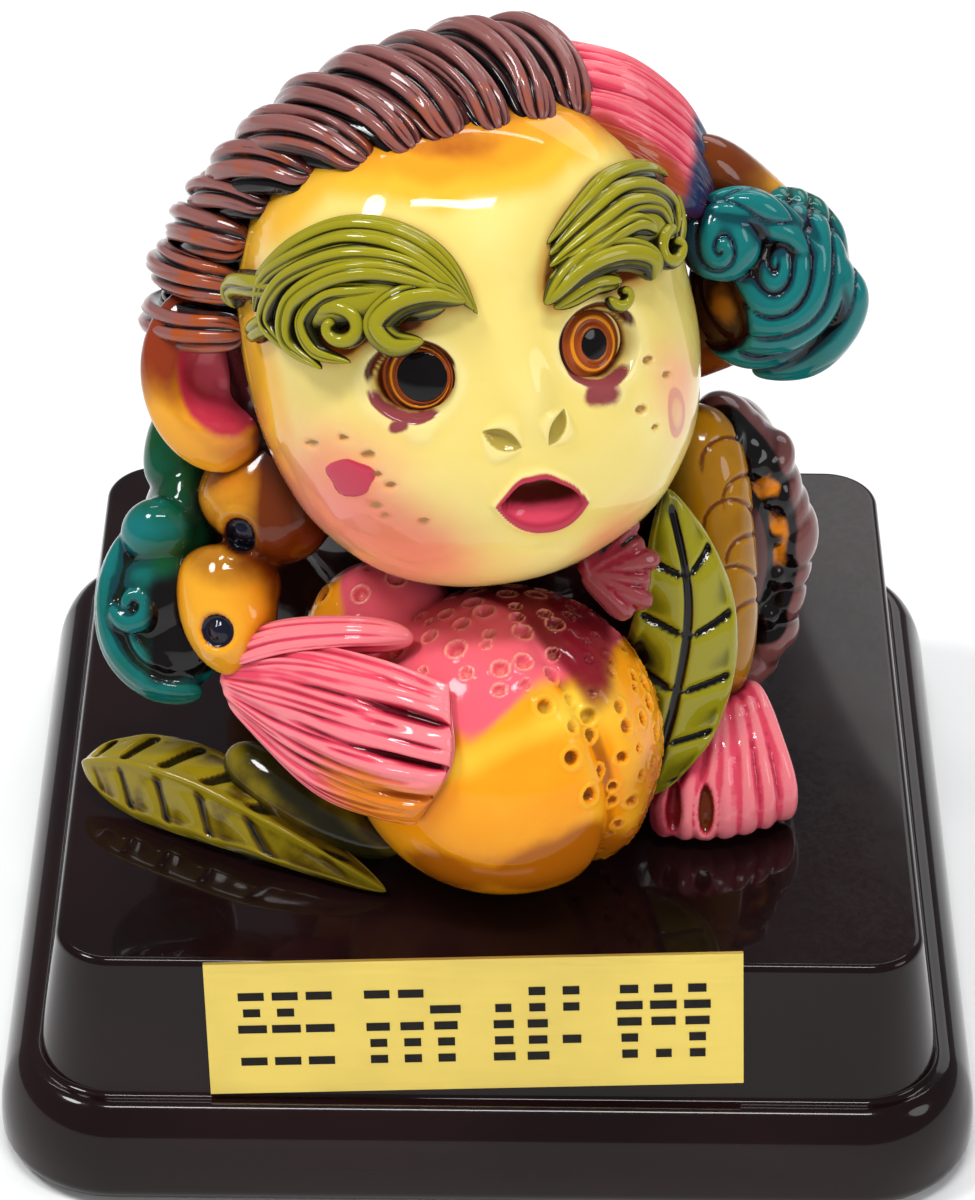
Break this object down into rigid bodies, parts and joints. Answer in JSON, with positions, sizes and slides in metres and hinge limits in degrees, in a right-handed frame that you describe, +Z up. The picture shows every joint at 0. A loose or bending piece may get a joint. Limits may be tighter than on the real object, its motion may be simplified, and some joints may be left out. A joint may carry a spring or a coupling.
{
  "type": "zodiac animal figurine",
  "caption": "Glazed pottery monkey that hugs a peach, one casting, resting on a square lacquered wooden stand with a nameplate.",
  "frame": {"origin": "centre of the stand's footprint, on the surface that it stands on", "axes": "+Z up, -Y towards the nameplate and the monkey's front, +X to the viewer's right"},
  "size_m": [0.115, 0.115, 0.1255],
  "materials": {
    "lacquer": "dark brown-black lacquer, high gloss",
    "gilt": "pale gold, satin, black strokes",
    "glaze": "glossy coloured glazes that pool in the grooves"
  },
  "bodies": {
    "root": {"stand": "lacquer", "nameplate": "gilt", "monkey_figure": "glaze"}
  },
  "joints": []
}
